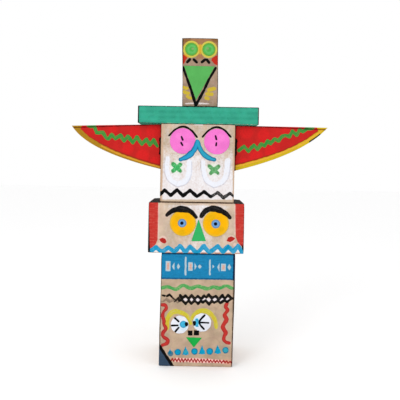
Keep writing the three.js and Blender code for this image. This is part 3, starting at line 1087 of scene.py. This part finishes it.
class Wing:
    # one wing's outline: how its top and lower edges run from the root (0) to the tip (1)
    def __init__(self, node, shape):
        low, high = nodeBox(node)
        head = nodeBox("head_carton")
        self.side = side = shape["side"]
        self.root = head[side > 0][0] + side * wingLook["gap"]
        self.length = abs((low, high)[side > 0][0] - self.root)
        self.top = high[2]
        self.plane = (low[1] + high[1]) / 2
        self.drop = shape["tipDrop"]
        self.bend = shape["bend"]
        deep = high[2] - low[2]
        t = np.linspace(0, 1, 80)
        kneeDrop = self.drop + wingLook["belly"] * (deep - self.drop)
        self.edgeShare = 2 * t * (1 - t) * (1 - shape["bellyReach"]) + t * t
        self.edgeDrop = (1 - t) ** 2 * deep + 2 * t * (1 - t) * kneeDrop + t * t * self.drop

    def grid(self, across, rows):
        u = np.linspace(0, 1, across)[:, None]
        v = np.linspace(0, 1, rows)[None, :]
        upper = self.drop * u
        lower = np.maximum(np.interp(u, self.edgeShare, self.edgeDrop), upper + wingLook["tipHeight"])
        points = np.empty((across, rows, 3))
        points[..., 0] = self.root + self.side * u * self.length
        points[..., 1] = self.plane
        points[..., 2] = self.top - lower - (upper - lower) * v
        height, size = wingLook["ripple"]
        ripple = buckle(points.reshape(-1, 3), wingLook["seed"] + self.side, size).reshape(across, rows)
        points[..., 1] += self.bend * u ** 2 * (0.4 + 0.6 * v) + height * u * (ripple - 0.5)
        return points


def wingCoats(wing, shape):
    side, root = wing.side, wing.root
    edge = list(zip(root + side * wing.edgeShare * wing.length, -wing.edgeDrop))[::4]
    widths = np.interp(np.linspace(0, 1, len(edge)), (0, 0.5, 1), shape["band"])
    inner = [(x, z + wide * 0.95) for (x, z), wide in zip(edge, widths)]
    low, high = shape["tipShadeSpan"]
    under = [(x, z + 2.5) for x, z in edge if low < x < high]
    sunlit = inner[:int(len(inner) * shape["sunlit"]) - 1]
    rootShadowX = root + side * 7
    x, z = edge[-1]
    glows = ((230, -130, 26), (290, -100, 22), (260, -36, 24), (180, -150, 16), (190, -24, 26),
             (350, -22, 16))
    return [
        coat("scarlet", (226, 32, 34), *[dot(side * away, drop, radius) for away, drop, radius in glows],
             wobble=3.0, soft=8.0, cover=0.6),
        # painted shade: a thin dark red line along the band's upper edge
        coat("bandEdgeShade", (138, 44, 22), stroke([(a, b + 3.5) for a, b in inner[:-1]], 7), soft=2.6, cover=0.7),
        coat("leaf", (48, 146, 62), stroke(shape["zigzag"], (14, 15, 14)), wobble=1.6, dry=0.2),
        coat("mustard", shape["bandColour"], stroke(edge, tuple(2 * wide for wide in shape["band"])),
             patch((x, z - 6), (x, z + 8), (x - side * 36, z + 10), (x - side * 22, z - 22)), wobble=0.9),
        # painted highlight: a lighter orange line along the band's upper edge, over its sunlit share
        coat("amber", shape["highlightColour"], stroke([(a, b - 3.5) for a, b in sunlit], 5.5), dry=0.3),
        # painted shade: a dark line along the lower edge near the tip
        coat("tipShade", (30, 16, 8), *([stroke(under, 6)] if under else []), wobble=0.8, soft=1.2),
        # painted shadow: a dark streak on the wing beside its root, where it meets the head
        coat("rootShadow", (26, 12, 8), dash(rootShadowX, -56, rootShadowX - side, -118, (8, 9)), wobble=2.5, soft=1.6),
        coat("rootShade", (140, 80, 74), dash(root, 0, root, -190, 12), wobble=1.5, soft=3.0, shade=True),
        coat("topShade", (150, 96, 90), dash(root, 0, x, z, 4), soft=1.5, shade=True),
    ]


def fluteTree():
    # Geometry Nodes: pushes a flat sheet into the waves of corrugated board
    tree = bpy.data.node_groups.new("boardFlutes", "GeometryNodeTree")
    graph = Graph(tree)
    source = {}
    for name, kind in (("Geometry", "Geometry"), ("Pitch", "Float"), ("Height", "Float"),
                       ("Paper", "Material")):
        tree.interface.new_socket(name, in_out="INPUT", socket_type="NodeSocket" + kind)
        source[name] = graph.node("NodeGroupInput", output=name)
    tree.interface.new_socket("Geometry", in_out="OUTPUT", socket_type="NodeSocketGeometry")
    across = graph.node("ShaderNodeSeparateXYZ", {0: graph.node("GeometryNodeInputPosition")}, "X")
    angle = across / source["Pitch"] * (2 * math.pi)
    wave = graph.node("ShaderNodeMath", {0: angle}, operation="SINE")
    offset = graph.node("ShaderNodeCombineXYZ", {"Y": wave * source["Height"]})
    waved = graph.node("GeometryNodeSetPosition", {"Geometry": source["Geometry"], "Offset": offset})
    solid = graph.node("GeometryNodeRealizeInstances", {0: waved})
    papered = graph.node("GeometryNodeSetMaterial", {"Geometry": solid, "Material": source["Paper"]})
    graph.node("NodeGroupOutput", {0: papered})
    return tree


def runTree(piece, tree, values):
    # puts a tree on a piece, sets its inputs, and keeps the result as the piece's own plain mesh
    modifier = piece.modifiers.new(tree.name, "NODES")
    modifier.node_group = tree
    sockets = {item.name: item.identifier for item in tree.interface.items_tree if item.in_out == "INPUT"}
    for name, value in values.items():
        modifier[sockets[name]] = value
    mesh = bpy.data.meshes.new_from_object(piece.evaluated_get(bpy.context.evaluated_depsgraph_get()))
    piece.modifiers.remove(modifier)
    piece.data = mesh


def makeWing(word, flutes, back, bare):
    node = "wing_" + word
    shape = wingLook[word]
    wing = Wing(node, shape)
    half = wingLook["board"] / 2
    thin = wingLook["liner"]
    coats = wingCoats(wing, shape)
    paint = paintedPaper(node + "Paint", wingLook["red"], coats, washed=False, crumple=wingLook["crumple"])
    middle = wing.grid(round(wing.length / wingLook["step"]), 72)
    liners = (("front", paint, -half, thin - half), ("back", back, half - thin, half))
    for name, material, near, far in liners:
        points, faces = slab(middle + (0, near, 0), middle + (0, far, 0), flip=shape["side"] < 0)
        local = (points - (0, wing.plane, wing.top)) * (1, 0, 1)
        fields, brush = layOn(coats if name == "front" else [], local)
        if name == "back":
            brush = local[:, (0, 2, 1)]
        makePiece(f"{node}_{name}", points, faces, material, "wing_red", [node] if name == "front" else [],
                  fields, brush)
    core = wing.grid(round(wing.length / wingLook["fluteStep"]), 14)
    paper = (0, wingLook["flutePaper"], 0)
    points, faces = slab(core - paper, core + paper, flip=shape["side"] < 0)
    piece = makePiece(f"{node}_flutes", points, faces, bare, "wing_red")
    runTree(piece, flutes, {"Pitch": wingLook["flutePitch"] * mm, "Height": (half - thin - 0.2) * mm,
                            "Paper": bare})


# Putting it together

washDepth = 6  # how far the wash runs round a front fold, in mm


def noWash(x, depth, z):
    return np.zeros(x.shape)


def wideWash(x, depth, z):
    front = (depth < washDepth) * np.clip((154 - np.abs(x)) / 40, 0, 1)
    middle = 0.27 * np.exp(-((x - 12) / 60) ** 2)
    upper = 0.22 * np.clip((z - 160) / 25, 0, 1)
    return front * np.clip(0.19 + middle + upper, 0, 1) * np.clip((200 - z) / 10, 0.4, 1)


def headWash(x, depth, z):
    front = (depth < washDepth) * np.clip((148 - np.abs(x)) / 12, 0, 1)
    rising = np.interp(z, (12, 60, 110, 170, 230, 314), (0.92, 1.0, 0.74, 0.46, 0.30, 0.25))
    return front * (rising + 0.12 * np.exp(-((x - 2) / 40) ** 2) * (z < 190))


def topWash(x, depth, z):
    return (depth < washDepth) * 0.14 * np.clip((170 - z) / 40, 0, 1)


def makeCartons():
    table = (
        ("base_carton", "kraft", baseLook, baseCoats(), noWash),
        ("wide_carton", "kraft", wideLook, wideCoats(), wideWash),
        ("head_carton", "kraft", headLook, headCoats(), headWash),
        ("brim_carton", "brim_green", brimLook, brimCoats(), noWash),
        ("top_carton", "kraft", topLook, topCoats(), topWash),
    )
    brown = paintedPaper("gummedTape", tint(190, 156, 116), [], washed=False, crumple=0.5)
    cartons = {}
    for row in table:
        node = row[0]
        carton = cartons[node] = Carton(*row)
        carton.makeSkin()
        long = node in ("wide_carton", "brim_carton")
        carton.tape("back_tape", 0 if long else 2, 1, 1, None if node == "brim_carton" else brown)
    for node, axis, side, word in (
            ("base_carton", 2, -1, "under"), ("wide_carton", 0, -1, "left"), ("wide_carton", 0, 1, "right"),
            ("brim_carton", 0, -1, "left"), ("brim_carton", 0, 1, "right"), ("top_carton", 2, 1, "upper")):
        cartons[node].foldEnd(word, axis, side)
    cartons["top_carton"].tape("upper_tape", 0, 2, 1, brown, 0.6)
    cartons["base_carton"].tape("under_tape", 0, 2, -1, brown, 0.6)
    cartons["brim_carton"].tape("upper_tape", 0, 2, 1, None)
    return cartons


def addCutOuts(cartons):
    # a row for each pair of eyes: the left and right disc's centre and radius, and how scalloped they are
    discs = (
        ("base", baseEyeCoats, (238, 240, 250), "white_card", ((-66, 167), 36), ((23, 177), 37), 0.035),
        ("wide", wideEyeCoats, (254, 184, 8), "yellow_card", ((-53, 121.5), 52), ((78, 121.5), 52), 0),
        ("head", headEyeCoats, (244, 122, 208), "pink_card", ((-62, 245), 51), ((75, 245), 51), 0),
        ("top", topEyeCoats, (82, 174, 76), "green_card", ((-37, 231), 26), ((33, 231), 26), 0),
    )
    for prefix, own, rgb, slotName, left, right, scallop in discs:
        carton = cartons[prefix + "_carton"]
        for word, (centre, radius) in (("left", left), ("right", right)):
            outline = discOutline(centre, radius, carton.look["seed"] + len(word), scallop)
            makeCutOut(f"{prefix}_eye_{word}", carton, slotName, outline, own, tint(*rgb))
    beaks = (
        ("base_beak", "base", [(-40, 117), (-8, 77), (24, 116)], (30, 174, 74)),
        ("wide_nose", "wide", [(-18, 50), (40, 51), (9, 137)], (56, 178, 100)),
        ("top_beak", "top", [(-66, 164), (-15, 27), (58, 163)], (92, 178, 92)),
    )
    for node, prefix, corners, rgb in beaks:
        makeCutOut(node, cartons[prefix + "_carton"], "green_card", roundedOutline(corners), [], tint(*rgb))


def addWings():
    flutes = fluteTree()
    back = paintedPaper("wingBackPaint", wingLook["backRed"], [], washed=False, crumple=wingLook["crumple"])
    bare = paintedPaper("bareFlutes", wingLook["bareBoard"], [], washed=False, crumple=0.0)
    for word in ("left", "right"):
        makeWing(word, flutes, back, bare)


setCamera()
setStudio()
addCutOuts(makeCartons())
addWings()

print("all pieces made")
